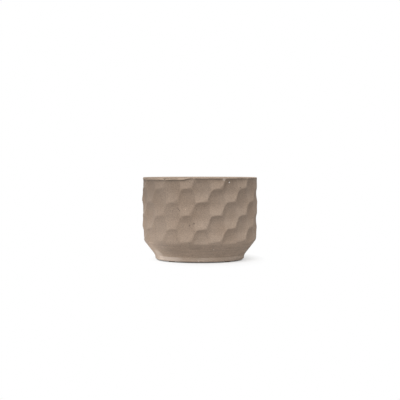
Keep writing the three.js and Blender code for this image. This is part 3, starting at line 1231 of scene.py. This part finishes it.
@dataclass(frozen=True)
class PotBody:
    """The clay body: carved wall, lip, inner wall, floor with its drain hole, and turned underside.

    Attributes:
        levels: The model's levels.
        finish: Finish of the clay.
        flank: The slope and the foot under the wall.
        carving: The scoops.
        belly: Height at which the turned wall is widest.
        barrel_drop: How much narrower the turned wall is at the shoulder.
        shoulder_softness: Size of the soft edge between the slope and the carving.
        hand_rise: Height above the shoulder over which the scoops grow uneven.
        sideways: Unevenness of the scoops round the pot, in degrees.
        upward: Unevenness of their heights.
        pressure: Unevenness of their depth, as a share of it.
        glaze_gap: Gap between the clay and the glaze lining.
        wall_under_slope: Thickness of the slope's wall.
        inside_rounding: Radius of the hollow's corners.
        lip_inner: Rounding of the lip's inner edge.
        lip_outer: How far its outer edge leans in.
        lip_inset: How much its outer edge stays inside the turned wall.
        lip_overhang: How far it stands out over the scoops, as a share of their depth.
        lip_wave: Unevenness of its lower outer edge.
        uneven_rings: Rings of the lip that are uneven.
        tall_lip: Height of its outer side where it is tall.
        low_lip: Height of its outer side elsewhere.
        tall_from: Angle in degrees where it grows tall, and over how many it does.
        tall_to: Angle in degrees where it grows low again, and over how many it does.
        lip_shadow_height: Height of the painted shadow under the lip.
        drain_radius: Radius of the drain hole.
        seat_radius: Radius of the plug's seat.
        seat_depth: How deep the seat is sunk.
        edge: Rounding of the hole's and the seat's edges.
        groove_depth: Depth of the underside's turned grooves.
        groove_pitch: Distance between them.
        smooth_edge: How far in from the foot's radius the underside is smooth.
        under_edge: How far in from the foot's radius its outermost ring lies.
        facet_angle: Edges sharper than this many degrees stay sharp.
        columns: Points round the pot.
        slope_cut: How far below the shoulder the rings grow dense.
        slope_rings: Rings below that.
        carved_rings: Rings from there to the lip.
        lip_rings: Rings on each half of the lip.
        under_spacing: Distance between the underside's rings.
        inside_spacing: Distance between the hollow's rings.
        marks: Single flecks, chips and pits, and broad patches of painted shade and of painted light.
    """

    levels: PotLevels
    finish: StonewareFinish
    flank: Flank
    carving: Carving = Carving()
    belly: float = 72.0 * MM
    barrel_drop: float = 1.3 * MM
    shoulder_softness: float = 0.64 * MM
    hand_rise: float = 8.0 * MM
    sideways: HandWave = HandWave(0.7, 5, 40.0 * MM, 11)
    upward: HandWave = HandWave(0.45 * MM, 6, 34.0 * MM, 23)
    pressure: HandWave = HandWave(0.1, 9, 26.0 * MM, 5)
    glaze_gap: float = 0.3 * MM
    wall_under_slope: float = 5.9 * MM
    inside_rounding: float = 7.0 * MM
    lip_inner: float = 1.6 * MM
    lip_outer: float = 1.1 * MM
    lip_inset: float = 0.2 * MM
    lip_overhang: float = 0.55
    lip_wave: HandWave = HandWave(0.3 * MM, 22, 50.0 * MM, 31)
    uneven_rings: int = 2
    tall_lip: float = 3.2 * MM
    low_lip: float = 1.0 * MM
    tall_from: Pair = (-110.0, 4.0)
    tall_to: Pair = (-14.0, 1.5)
    lip_shadow_height: float = 2.5 * MM
    drain_radius: float = 6.5 * MM
    seat_radius: float = 11.0 * MM
    seat_depth: float = 1.2 * MM
    edge: float = 0.5 * MM
    groove_depth: float = 0.18 * MM
    groove_pitch: float = 5.1 * MM
    smooth_edge: float = 14.0 * MM
    under_edge: float = 2.0 * MM
    facet_angle: float = 60.0
    columns: int = 432
    slope_cut: float = 3.5 * MM
    slope_rings: int = 18
    carved_rings: int = 111
    lip_rings: int = 8
    under_spacing: float = 2.4 * MM
    inside_spacing: float = 5.0 * MM
    marks: tuple[Mark, ...] = (
        Mark(23.7, 98.2 * MM, 2.0 * MM, 1.18, 0.5),
        Mark(30.8, 94.8 * MM, 1.1 * MM, 1.5, 0.85),
        Mark(15.0, 16.4 * MM, 1.0 * MM, 1.16),
        Mark(-22.6, 65.0 * MM, 1.0 * MM, 0.4),
        Mark(-20.9, 63.5 * MM, 1.0 * MM, 0.3),
        Mark(-19.6, 62.1 * MM, 1.0 * MM, 0.4),
        Mark(-9.8, 44.8 * MM, 1.1 * MM, 0.25),
        Mark(-5.2, 47.1 * MM, 1.1 * MM, 0.25),
        Mark(43.2, 88.0 * MM, 1.1 * MM, 0.2),
        Mark(-27.8, 61.6 * MM, 0.9 * MM, 0.4),
        # The five broad patches that follow are painted light and shade, not marks of the clay: painted shade
        # on the upper left, the lower left, the front above the slope and the slope's left, and painted light
        # low down on the left.
        Mark(-62.0, 89.0 * MM, 32.0 * MM, 0.6, 0.4),
        Mark(-76.0, 27.0 * MM, 16.0 * MM, 0.6, 0.5),
        Mark(-4.0, 24.0 * MM, 11.0 * MM, 0.6, 0.2),
        Mark(-74.0, 17.0 * MM, 15.0 * MM, 0.6, 0.3),
        Mark(-60.0, 8.0 * MM, 10.0 * MM, 1.1, 0.6),
    )

    def barrel(self, height: np.ndarray) -> np.ndarray:
        """Radius of the turned wall before it is carved."""
        share = (height - self.belly) / (self.belly - self.flank.shoulder)
        return self.levels.ridge_radius - self.barrel_drop * share ** 2

    def wall(self, angle: np.ndarray, height: np.ndarray) -> tuple[np.ndarray, np.ndarray]:
        """Radius of the finished wall, where the slope and the carving meet in a soft edge.

        Args:
            angle: Angles, in degrees.
            height: Heights.

        Returns:
            The radius at each place, and the place along its scoop.
        """
        depth, along_scoop = self.carving.at(angle, height)
        kept = self.carving.kept(angle, height, self.flank.shoulder, self.levels.rim - self.low_lip)
        carved = self.barrel(height) - depth * kept
        slope = self.flank.radius(height)
        soft = self.shoulder_softness
        nearer = np.minimum(carved, slope)
        radius = nearer - soft * np.log(np.exp((nearer - carved) / soft) + np.exp((nearer - slope) / soft))
        return radius, np.where(carved < slope, along_scoop, 0.5)

    def wall_rings(self) -> tuple[np.ndarray, np.ndarray]:
        """Angles in degrees and heights of the rings from the foot up to the lip."""
        low = self.flank.shoulder - self.slope_cut
        slope = np.linspace(self.levels.underside, low, self.slope_rings, endpoint=False)
        carved = np.linspace(low, self.levels.rim - self.low_lip, self.carved_rings)
        angle = np.arange(self.columns) * 360 / self.columns
        return np.meshgrid(angle, np.concatenate([slope, carved]))

    def by_hand(self, angle: np.ndarray, height: np.ndarray) -> tuple[np.ndarray, np.ndarray, np.ndarray]:
        """Places points of the wall with the unevenness of handwork.

        Args:
            angle: Angles, in degrees.
            height: Heights.

        Returns:
            The points, their radii, and their places along their scoops.
        """
        turn = np.radians(angle)
        raised = np.clip((height - self.flank.shoulder) / self.hand_rise, 0, 1)
        shift = self.sideways.at(turn, height) * raised
        climb = self.upward.at(turn, height) * raised
        strength = 1 + self.pressure.at(turn, height)
        carved, along_scoop = self.wall(angle, height)
        plain = np.minimum(self.barrel(height), self.flank.radius(height))
        radius = plain - (plain - carved) * strength
        climb = climb * (radius < self.barrel(height))
        return ring_points(turn + np.radians(shift), radius, height + climb), radius, along_scoop

    def build(self) -> bpy.types.Object:
        """Builds the body.

        Returns:
            The finished piece.
        """
        angle, height = self.wall_rings()
        turn = np.radians(angle)
        wall, radius, along_scoop = self.by_hand(angle, height)
        lip = self.lip(turn[-1], radius[-1], height[-1])
        rings = np.concatenate([wall, lip, self.inside(turn[-1]), self.under(turn[0])])
        piece = skin("carved_pot", rings, Ends.LOOP, self.facet_angle)
        plain = np.minimum(self.barrel(height), self.flank.radius(height))
        below = (self.levels.rim - self.bevel(turn) - height) / self.lip_shadow_height
        # The finish reads these values. The depth gives the lighter ridges and the painted shade in the
        # hollows. The place along the scoop gives painted light on its lower end and painted shade on its
        # top, weaker on the faint sides. Under the lip lies a painted shadow, and the lip gets its wear and
        # painted light.
        store(piece, "hollow", (plain - radius) / self.carving.depth)
        store(piece, "along_scoop", 0.5 + (along_scoop - 0.5) * self.carving.kept_round(angle), 0.5)
        store(piece, "shadow_under_lip", 1 - np.clip(below, 0, 1))
        store(piece, "lip_wear_and_light", np.repeat([0.0, 1.0], [radius.size, 2 * self.lip_rings * self.columns]))
        return piece

    def bevel(self, turn: np.ndarray) -> np.ndarray:
        """Gives the height of the lip's outer side, which is taller round the pot's left side.

        Args:
            turn: Angles, in radians.

        Returns:
            The height at each angle.
        """
        degrees = (np.degrees(turn) + 180) % 360 - 180
        starts = 1 / (1 + np.exp((self.tall_from[0] - degrees) / self.tall_from[1]))
        stops = 1 / (1 + np.exp((degrees - self.tall_to[0]) / self.tall_to[1]))
        return self.low_lip + (self.tall_lip - self.low_lip) * starts * stops

    def lip(self, turn: np.ndarray, radius: np.ndarray, height: np.ndarray) -> np.ndarray:
        """Rings from the carved wall's top over the lip to its inner edge.

        Args:
            turn: Angles of the wall's top ring, in radians.
            radius: Its radii.
            height: Its heights.

        Returns:
            The rings, from the outside in.
        """
        rim = self.levels.rim
        inner = self.levels.glaze_radius + self.glaze_gap
        bevel = self.bevel(turn)
        uneven = self.lip_wave.at(turn, height)
        scooped = np.clip(self.barrel(rim) - self.lip_inset - radius, 0, None)
        rings = []
        for step in range(1, self.lip_rings + 1):
            swing = math.pi / 2 * step / self.lip_rings
            grown = scooped * self.lip_overhang * min(1.0, step / self.uneven_rings)
            across = radius + grown - self.lip_outer * (1 - math.cos(swing))
            level = rim - bevel * (1 - math.sin(swing)) + uneven * (step <= self.uneven_rings)
            rings.append(ring_points(turn, across, level))
        for step in range(self.lip_rings + 1):
            swing = math.pi / 2 * step / self.lip_rings
            across = inner + self.lip_inner * (1 - math.sin(swing))
            level = rim - self.lip_inner * (1 - math.cos(swing))
            rings.append(ring_points(turn, across, level))
        return np.stack(rings)

    def inside_outline(self) -> np.ndarray:
        """Outline of the hollow, from below the lip down to the drain hole's lower edge."""
        levels = self.levels
        wall = self.wall_under_slope
        inner = levels.glaze_radius + self.glaze_gap
        floor = levels.inside_floor
        seat = floor - self.seat_depth
        outline = rounded_outline([
            Corner(inner, levels.rim),
            Corner(inner, self.flank.inner_height(inner, wall), self.inside_rounding),
            Corner(self.flank.inner_radius(floor, wall), floor, self.inside_rounding),
            Corner(self.seat_radius, floor, self.edge),
            Corner(self.seat_radius, seat, self.edge),
            Corner(self.drain_radius, seat, self.edge),
            Corner(self.drain_radius, levels.underside, self.edge),
            Corner(levels.foot_radius, levels.underside),
        ])
        start = np.array([[inner, levels.rim - self.lip_inner - self.edge]])
        return spaced(np.concatenate([start, outline[1:-1]]), self.inside_spacing)

    def inside(self, turn: np.ndarray) -> np.ndarray:
        """Rings of the hollow.

        Args:
            turn: Angles of the rings' points, in radians.

        Returns:
            The rings, from the lip down to the underside.
        """
        outline = self.inside_outline()
        return ring_points(turn, outline[:, :1], outline[:, 1:])

    def under(self, turn: np.ndarray) -> np.ndarray:
        """Rings of the underside, with the shallow grooves that turning leaves.

        Args:
            turn: Angles of the rings' points, in radians.

        Returns:
            The rings, from the drain hole out to the foot.
        """
        foot = self.levels.foot_radius
        first = self.drain_radius + 2 * self.edge
        last = foot - self.under_edge
        radius = np.linspace(first, last, math.ceil((last - first) / self.under_spacing))
        groove = self.groove_depth * (1 + np.sin(2 * math.pi * radius / self.groove_pitch))
        height = self.levels.underside + groove * (radius < foot - self.smooth_edge)
        return ring_points(turn, radius[:, None], height[:, None])

    def make(self) -> None:
        """Builds the body and puts it in place."""
        angle, height = angles_and_heights(self.marks)
        clay = self.finish.material(self.marks, self.by_hand(angle, height)[0])
        settle(self.build(), Body.POT, Slot.WALL, clay, "pot_body")


@dataclass(frozen=True)
class FootRing:
    """The turned foot ring, with a soft lower edge and a slightly uneven outline.

    Attributes:
        levels: The model's levels.
        finish: Finish of the clay.
        flank: The slope and the foot, whose outside it follows.
        width: Width of the ring.
        rounding: Rounding of its outer lower edge.
        inner_rounding: Rounding of its inner lower edge.
        uneven: Unevenness of its outline, most of it at the base.
        columns: Points round the ring.
        spacing: Distance between its rings of points.
        marks: Its pale speck, and a broad patch of painted light at its left end.
    """

    levels: PotLevels
    finish: StonewareFinish
    flank: Flank
    width: float = 12.3 * MM
    rounding: float = 1.6 * MM
    inner_rounding: float = 1.2 * MM
    uneven: HandWave = HandWave(0.16 * MM, 8, 9.0 * MM, 41)
    columns: int = 288
    spacing: float = 1.2 * MM
    marks: tuple[Mark, ...] = (
        Mark(-1.4, 2.6 * MM, 1.0 * MM, 1.25),
        # Painted light: the broad pale patch at the foot's left end.
        Mark(-44.0, 6.0 * MM, 24.0 * MM, 1.1, 0.7),
    )

    def build(self) -> bpy.types.Object:
        """Builds the ring.

        Returns:
            The finished piece.
        """
        levels = self.levels
        inner = levels.foot_radius - self.width
        base = levels.foot_radius - self.flank.foot_taper
        outline = rounded_outline([
            Corner(inner, levels.foot_base, self.inner_rounding),
            Corner(base, levels.foot_base, self.rounding),
            Corner(float(self.flank.radius(levels.underside)), levels.underside),
            Corner(inner, levels.underside),
        ])
        outline = spaced(np.concatenate([outline, outline[:1]]), self.spacing)[:-1]
        outer = (outline[:, 0] > base) & (outline[:, 1] > levels.foot_base + self.rounding)
        outline[outer, 0] = self.flank.radius(outline[outer, 1])
        rings = turned(outline, self.columns)
        level = rings[..., 2]
        lower = np.clip((levels.underside - level) / levels.foot_height, 0, 1)
        push_out(rings, self.uneven.at(full_turn(self.columns), level) * lower)
        return skin("turned_foot", rings, Ends.LOOP)

    def make(self) -> None:
        """Builds the ring and puts it in place."""
        angle, height = angles_and_heights(self.marks)
        places = ring_points(np.radians(angle), self.flank.radius(height), height)
        settle(self.build(), Body.POT, Slot.FOOT, self.finish.material(self.marks, places), "foot_ring")


@dataclass(frozen=True)
class InnerGlaze:
    """The glaze lining: a thin skin with a wavy upper edge, faint throwing rings and a pooled corner.

    Attributes:
        levels: The model's levels.
        finish: Finish of the glaze.
        flank: The slope that the lining follows inside.
        wall_under_slope: Distance from the slope's outside to the glaze.
        thickness: Thickness of the glaze.
        mouth: Radius of its hole round the plug's seat.
        bead: Rounding of its upper edge, and in part of the hole's.
        outer_rounding: Rounding of its corners on the clay.
        pool_rounding: Rounding of its corners inside, where it pooled.
        upper_wave: Unevenness of its upper edge.
        wave_reach: How far below the upper edge that unevenness reaches.
        ring_pitch: Distance between the throwing rings.
        ring_depth: Their depth.
        rings_above: How far above the floor they begin.
        columns: Points round the skin.
        spacing: Distance between its rings of points.
    """

    levels: PotLevels
    finish: GlazeFinish
    flank: Flank
    wall_under_slope: float = 6.2 * MM
    thickness: float = 0.8 * MM
    mouth: float = 11.0 * MM
    bead: float = 0.36 * MM
    outer_rounding: float = 7.0 * MM
    pool_rounding: float = 8.5 * MM
    upper_wave: HandWave = HandWave(0.9 * MM, 7, 60.0 * MM, 53)
    wave_reach: float = 12.0 * MM
    ring_pitch: float = 5.2 * MM
    ring_depth: float = 0.14 * MM
    rings_above: float = 9.0 * MM
    columns: int = 216
    spacing: float = 1.3 * MM

    def side(self, inset: float, rounding: float) -> list[Corner]:
        """Gives the corners of one side of the skin, from its top to the floor's edge.

        Args:
            inset: How far in from the glaze's outer side.
            rounding: Radius of the corners.

        Returns:
            The three corners.
        """
        wall = self.wall_under_slope + inset
        radius = self.levels.glaze_radius - inset
        floor = self.levels.inside_floor + inset
        return [
            Corner(radius, self.levels.glaze_top),
            Corner(radius, self.flank.inner_height(radius, wall), rounding),
            Corner(self.flank.inner_radius(floor, wall), floor, rounding),
        ]

    def build(self) -> bpy.types.Object:
        """Builds the skin.

        Returns:
            The finished piece.
        """
        levels = self.levels
        outer = self.side(0.0, self.outer_rounding)
        inner = self.side(self.thickness, self.pool_rounding)
        outline = rounded_outline([
            Corner(self.mouth, levels.inside_floor, self.bead / 2),
            *reversed(outer[1:]),
            Corner(outer[0].radius, outer[0].height, self.bead),
            Corner(inner[0].radius, inner[0].height, self.bead),
            *inner[1:],
            Corner(self.mouth, levels.inside_floor + self.thickness, self.bead),
        ], steps=8)
        outline = spaced(np.concatenate([outline, outline[:1]]), self.spacing)[:-1]
        rings = turned(outline, self.columns)
        turn = full_turn(self.columns)
        radius, level = outline[:, :1], outline[:, 1:]
        near_top = np.clip((level - levels.glaze_top + self.wave_reach) / self.wave_reach, 0, 1)
        wave = self.upper_wave.at(turn, np.zeros_like(level))
        rings[..., 2] += (wave - self.upper_wave.size) * near_top
        inside = radius < levels.glaze_radius - self.thickness / 2
        thrown = inside & (level > levels.inside_floor + self.rings_above)
        push_out(rings, self.ring_depth * np.sin(2 * math.pi * level / self.ring_pitch + turn) * thrown)
        return skin("glaze_lining", rings, Ends.LOOP)

    def make(self) -> None:
        """Builds the skin and puts it in place."""
        settle(self.build(), Body.POT, Slot.GLAZE, self.finish.material(), "inner_glaze")


@dataclass(frozen=True)
class DrainPlug:
    """The moulded drain plug: a ribbed stem, a flange and a waisted knob.

    Attributes:
        finish: Finish of the silicone.
        stem_radius: Radius of the stem at its ribs.
        rib: How far the ribs stand out.
        foot_rib: Height of the rib at the stem's lower end.
        top_rib: Height of the rib under the flange.
        rib_slope: Height over which a rib runs out.
        rib_rounding: Rounding of the ribs.
        flange: Thickness of the flange.
        flange_rounding: Rounding of its lower edge.
        edge: Rounding of the flange's upper edge and of the stem's end.
        knob_height: Height of the knob above the flange.
        knob_radius: Radius of the knob.
        waist_radius: Radius of its waist.
        waist: Where the waist ends and the knob begins, above the flange.
        waist_roundings: Roundings at the waist's lower end, at its upper end and at the knob's side.
        knob_rounding: Rounding of the knob's top.
        tip: Radius of the flat spot in the middle of its ends.
        columns: Points round the plug.
    """

    finish: SiliconeFinish
    stem_radius: float = 6.2 * MM
    rib: float = 0.25 * MM
    foot_rib: float = 1.4 * MM
    top_rib: float = 1.0 * MM
    rib_slope: float = 0.4 * MM
    rib_rounding: float = 0.25 * MM
    flange: float = 2.0 * MM
    flange_rounding: float = 0.3 * MM
    edge: float = 0.6 * MM
    knob_height: float = 6.0 * MM
    knob_radius: float = 3.5 * MM
    waist_radius: float = 2.7 * MM
    waist: Pair = (2.2 * MM, 3.4 * MM)
    waist_roundings: tuple[float, float, float] = (1.2 * MM, 1.0 * MM, 0.6 * MM)
    knob_rounding: float = 0.9 * MM
    tip: float = 0.4 * MM
    columns: int = 96

    def build(self) -> bpy.types.Object:
        """Builds the plug.

        Returns:
            The finished piece.
        """
        low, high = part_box("drain_plug")
        top = high.z - self.knob_height
        seat = top - self.flange
        core = self.stem_radius - self.rib
        waist_end, knob_start = self.waist
        waist_foot, waist_top, knob_side = self.waist_roundings
        outline = rounded_outline([
            Corner(self.tip, low.z),
            Corner(self.stem_radius, low.z, self.edge),
            Corner(self.stem_radius, low.z + self.foot_rib, self.rib_rounding),
            Corner(core, low.z + self.foot_rib + self.rib_slope, self.rib_rounding),
            Corner(core, seat - self.top_rib - self.rib_slope, self.rib_rounding),
            Corner(self.stem_radius, seat - self.top_rib, self.rib_rounding),
            Corner(self.stem_radius, seat),
            Corner(high.x, seat, self.flange_rounding),
            Corner(high.x, top, self.edge),
            Corner(self.waist_radius, top, waist_foot),
            Corner(self.waist_radius, top + waist_end, waist_top),
            Corner(self.knob_radius, top + knob_start, knob_side),
            Corner(self.knob_radius, high.z, self.knob_rounding),
            Corner(self.tip, high.z),
        ], steps=8)
        return skin("lift_out_plug", turned(outline, self.columns), Ends.CAPS)

    def make(self) -> None:
        """Builds the plug and puts it in place."""
        settle(self.build(), Body.PLUG, Slot.PLUG, self.finish.material(), "drain_plug")


@dataclass(frozen=True)
class FeltPads:
    """Four felt discs under the foot, with soft cut edges.

    Attributes:
        finish: Finish of the felt.
        count: How many pads there are.
        edge: Rounding of their edges.
        fuzz: How far the cut side's points lie in.
        fuzzy_from: Where the cut side begins, as a share of the radius.
        tip: Radius of the flat spot in the middle.
        seed: Start of the random numbers, to which a pad's number is added.
        columns: Points round a pad.
        spacing: Distance between its rings of points.
    """

    finish: FeltFinish
    count: int = 4
    edge: float = 0.3 * MM
    fuzz: float = 0.07 * MM
    fuzzy_from: float = 0.9
    tip: float = 0.3 * MM
    seed: int = 70
    columns: int = 96
    spacing: float = 0.35 * MM

    def build(self, number: int) -> bpy.types.Object:
        """Builds one pad.

        Args:
            number: Which pad, from 1.

        Returns:
            The finished piece.
        """
        low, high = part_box(f"foot_pad_{number}")
        centre = (low + high) / 2
        radius = (high.x - low.x) / 2
        outline = rounded_outline([
            Corner(self.tip, low.z),
            Corner(radius, low.z, self.edge),
            Corner(radius, high.z, self.edge),
            Corner(self.tip, high.z),
        ], steps=4)
        outline = spaced(outline, self.spacing)
        rings = turned(outline, self.columns)
        cut = outline[:, :1] > self.fuzzy_from * radius
        loose = np.random.default_rng(self.seed + number).uniform(0, 1, rings.shape[:2])
        rings[..., :2] *= (1 - self.fuzz / radius * loose * cut)[..., None]
        rings[..., :2] += np.array(centre.xy)
        return skin(f"felt_pad_{number}", rings, Ends.CAPS)

    def make(self) -> None:
        """Builds the pads and puts them in place."""
        felt = self.finish.material()
        for number in range(1, self.count + 1):
            settle(self.build(number), Body.POT, Slot.FELT, felt, f"foot_pad_{number}")


@dataclass(frozen=True)
class Card:
    """A white card that stands upright beside the pot and throws light on it.

    Attributes:
        name: Its name.
        angle: Where it stands, in degrees from the front towards +X.
        distance: How far from the pot's axis.
        width: Its width.
        height: Its height.
        power: The light that it throws, in watts.
        gap: Gap between its lower edge and the floor.
    """

    name: str
    angle: float
    distance: float
    width: float
    height: float
    power: float
    gap: float = 1.0 * MM

    def stand(self) -> None:
        """Stands the card upright, facing the pot, out of the camera's sight."""
        data = bpy.data.lights.new(self.name, "AREA")
        data.shape = "RECTANGLE"
        data.size = self.width
        data.size_y = self.height
        data.energy = self.power
        card = bpy.data.objects.new(self.name, data)
        turn = math.radians(self.angle)
        way = Vector((math.sin(turn), -math.cos(turn), 0.0))
        card.location = way * self.distance + Vector((0, 0, self.height / 2 + self.gap))
        card.rotation_euler = way.to_track_quat("Z", "Y").to_euler()
        card.visible_camera = False
        bpy.context.scene.collection.objects.link(card)


@dataclass(frozen=True)
class Studio:
    """Plain white floor and surroundings, one broad soft lamp, two white cards at the left and the camera.

    Attributes:
        lamp_angle: Where the lamp hangs, in degrees from the front towards +X.
        lamp_elevation: How high it hangs, in degrees.
        lamp_strength: Its strength.
        lamp_width: How broad it looks from the pot, in degrees.
        lamp_distance: How far away it hangs.
        ambient: Strength of the even light from all round.
        cards: The white cards.
        floor_size: Length of the floor's sides.
        floor_grey: Brightness of the floor's paper.
        white_middle: How far towards +X the middle of the floor's shaded part lies.
        white_reach: How far that part reaches along X and along Y.
        white_ramp: Shares of that reach where the floor starts to grow white and where it is plain white.
        white_least: How white it is in the middle.
        contact_radius: Radius round the pot's axis inside which the floor is darkest.
        contact_ease: Width of the edge of that spot.
        contact_white: How white the floor stays in it.
        camera_distance: How far in front of the pot's axis the camera stands.
        camera_height: Its height.
        aim: The point that it looks at.
        lens: Its focal length, in millimetres.
        sensor: Its sensor's width, in millimetres.
    """

    lamp_angle: float = -10.0
    lamp_elevation: float = 51.0
    lamp_strength: float = 2.24
    lamp_width: float = 44.0
    lamp_distance: float = 2.0
    ambient: float = 0.56
    cards: tuple[Card, ...] = (
        Card("low_card", -74.0, 0.082, 0.06, 0.006, 0.0055),
        Card("tall_card", -86.0, 0.14, 0.1, 0.045, 0.024),
    )
    floor_size: float = 6.0
    floor_grey: float = 0.86
    white_middle: float = 10.0 * MM
    white_reach: Pair = (75.0 * MM, 120.0 * MM)
    white_ramp: Pair = (0.45, 0.97)
    white_least: float = 0.4
    contact_radius: float = 53.0 * MM
    contact_ease: float = 2.0 * MM
    contact_white: float = 0.2
    camera_distance: float = 1.231
    camera_height: float = 0.112
    aim: tuple[float, float, float] = (0.0004, 0.0, 0.0722)
    lens: float = 91.1
    sensor: float = 36.0

    @staticmethod
    def seen_directly(nodes: Nodes) -> bpy.types.NodeSocket:
        """Gives 1 for rays from the camera, in a mirror or through glass, and 0 for light that bounces.

        Args:
            nodes: The nodes that it is added to.

        Returns:
            The socket.
        """
        rays = nodes.add("ShaderNodeLightPath").outputs
        straight = nodes.math("MAXIMUM", rays["Is Camera Ray"], rays["Is Glossy Ray"])
        return nodes.math("MAXIMUM", straight, rays["Is Transmission Ray"])

    def surroundings(self) -> None:
        """Makes the world: white where it is seen, a plain even light elsewhere."""
        world = bpy.data.worlds.new("surroundings")
        world.use_nodes = True
        nodes = Nodes(world.node_tree)
        even = nodes.tree.nodes["Background"]
        white = nodes.add("ShaderNodeBackground")
        for background, strength in ((even, self.ambient), (white, 1.0)):
            nodes.join((1.0, 1.0, 1.0), background.inputs["Color"])
            nodes.join(strength, background.inputs["Strength"])
        nodes.show(self.seen_directly(nodes), even, white, "World Output")
        bpy.context.scene.world = world

    @staticmethod
    def away(paper: Shader, middle: float, reach: Pair) -> bpy.types.NodeSocket:
        """Gives the distance from a point of the floor, as a share of how far something reaches.

        Args:
            paper: The floor's nodes.
            middle: The point's place along X.
            reach: How far it reaches along X and along Y.

        Returns:
            The socket.
        """
        mapping = paper.add("ShaderNodeMapping")
        paper.join(paper.place, mapping.inputs["Vector"])
        mapping.inputs["Location"].default_value = (-middle / reach[0], 0.0, 0.0)
        mapping.inputs["Scale"].default_value = (1 / reach[0], 1 / reach[1], 0.0)
        length = paper.add("ShaderNodeVectorMath")
        length.operation = "LENGTH"
        paper.join(mapping.outputs["Vector"], length.inputs[0])
        return length.outputs["Value"]

    @staticmethod
    def ramp(paper: Shader, value: object, low: float, high: float, least: float) -> bpy.types.NodeSocket:
        """Maps a stretch of values straight to another one that ends at 1.

        Args:
            paper: The floor's nodes.
            value: The socket that is mapped.
            low: Value that gives the least result.
            high: Value that gives 1.
            least: The least result.

        Returns:
            The result's socket.
        """
        node = paper.add("ShaderNodeMapRange")
        for source, name in ((value, "Value"), (low, "From Min"), (high, "From Max"), (least, "To Min")):
            paper.join(source, node.inputs[name])
        return node.outputs["Result"]

    def whiteness(self, paper: Shader) -> bpy.types.NodeSocket:
        """Gives how white the floor is, from its shaded self at the foot to plain white farther out.

        Args:
            paper: The floor's nodes.

        Returns:
            The socket.
        """
        around = self.away(paper, self.white_middle, self.white_reach)
        fade = self.ramp(paper, around, *self.white_ramp, self.white_least)
        near = self.away(paper, 0.0, (1.0, 1.0))
        inner = self.contact_radius - self.contact_ease
        contact = self.ramp(paper, near, inner, self.contact_radius, self.contact_white)
        return paper.math("MULTIPLY", fade, contact)

    def floor(self) -> None:
        """Lays the floor, which shows white and keeps the pot's shadow."""
        half = self.floor_size / 2
        corners = [(-half, -half, 0.0), (half, -half, 0.0), (half, half, 0.0), (-half, half, 0.0)]
        mesh = bpy.data.meshes.new("floor")
        mesh.from_pydata(corners, [], [(0, 1, 2, 3)])
        plane = bpy.data.objects.new("floor", mesh)
        bpy.context.scene.collection.objects.link(plane)
        paper = Shader("floor_paper")
        paper.tree.nodes.remove(paper.surface)
        matt = paper.add("ShaderNodeBsdfDiffuse")
        paper.join((self.floor_grey, self.floor_grey, self.floor_grey), matt.inputs["Color"])
        glow = paper.add("ShaderNodeEmission")
        paper.join(1.0, glow.inputs["Strength"])
        share = paper.math("MULTIPLY", self.seen_directly(paper), self.whiteness(paper))
        paper.show(share, matt, glow, "Material Output")
        mesh.materials.append(paper.material)

    def lamp(self) -> None:
        """Hangs the broad soft lamp, to the left of the camera and above it."""
        data = bpy.data.lights.new("soft_lamp", "SUN")
        data.energy = self.lamp_strength
        data.angle = math.radians(self.lamp_width)
        lamp = bpy.data.objects.new("soft_lamp", data)
        turn = math.radians(self.lamp_angle)
        rise = math.radians(self.lamp_elevation)
        way = Vector((math.sin(turn) * math.cos(rise), -math.cos(turn) * math.cos(rise), math.sin(rise)))
        lamp.rotation_euler = way.to_track_quat("Z", "Y").to_euler()
        lamp.location = way * self.lamp_distance
        bpy.context.scene.collection.objects.link(lamp)

    def camera(self) -> None:
        """Sets up the camera at the photograph's viewing angle."""
        data = bpy.data.cameras.new("camera")
        data.lens = self.lens
        data.sensor_width = self.sensor
        camera = bpy.data.objects.new("camera", data)
        camera.location = (0.0, -self.camera_distance, self.camera_height)
        camera.rotation_euler = (Vector(self.aim) - camera.location).to_track_quat("-Z", "Y").to_euler()
        bpy.context.scene.collection.objects.link(camera)
        bpy.context.scene.camera = camera

    def make(self) -> None:
        """Sets up the whole studio."""
        self.surroundings()
        self.floor()
        self.lamp()
        for card in self.cards:
            card.stand()
        self.camera()
        bpy.context.scene.view_settings.view_transform = "Standard"
        log.info("studio: floor, lamp, cards, surroundings and camera")


def main() -> None:
    """Builds every piece round the model, in order from the clay out."""
    levels = PotLevels.from_frame()
    flank = Flank(levels)
    PotBody(levels, CarvedStoneware("stoneware_wall", WALL_CLAY), flank).make()
    FootRing(levels, StonewareFinish("foot_clay", FOOT_CLAY), flank).make()
    InnerGlaze(levels, GlazeFinish(), flank).make()
    DrainPlug(SiliconeFinish()).make()
    FeltPads(FeltFinish()).make()
    Studio().make()


if __name__ == "__main__":
    main()
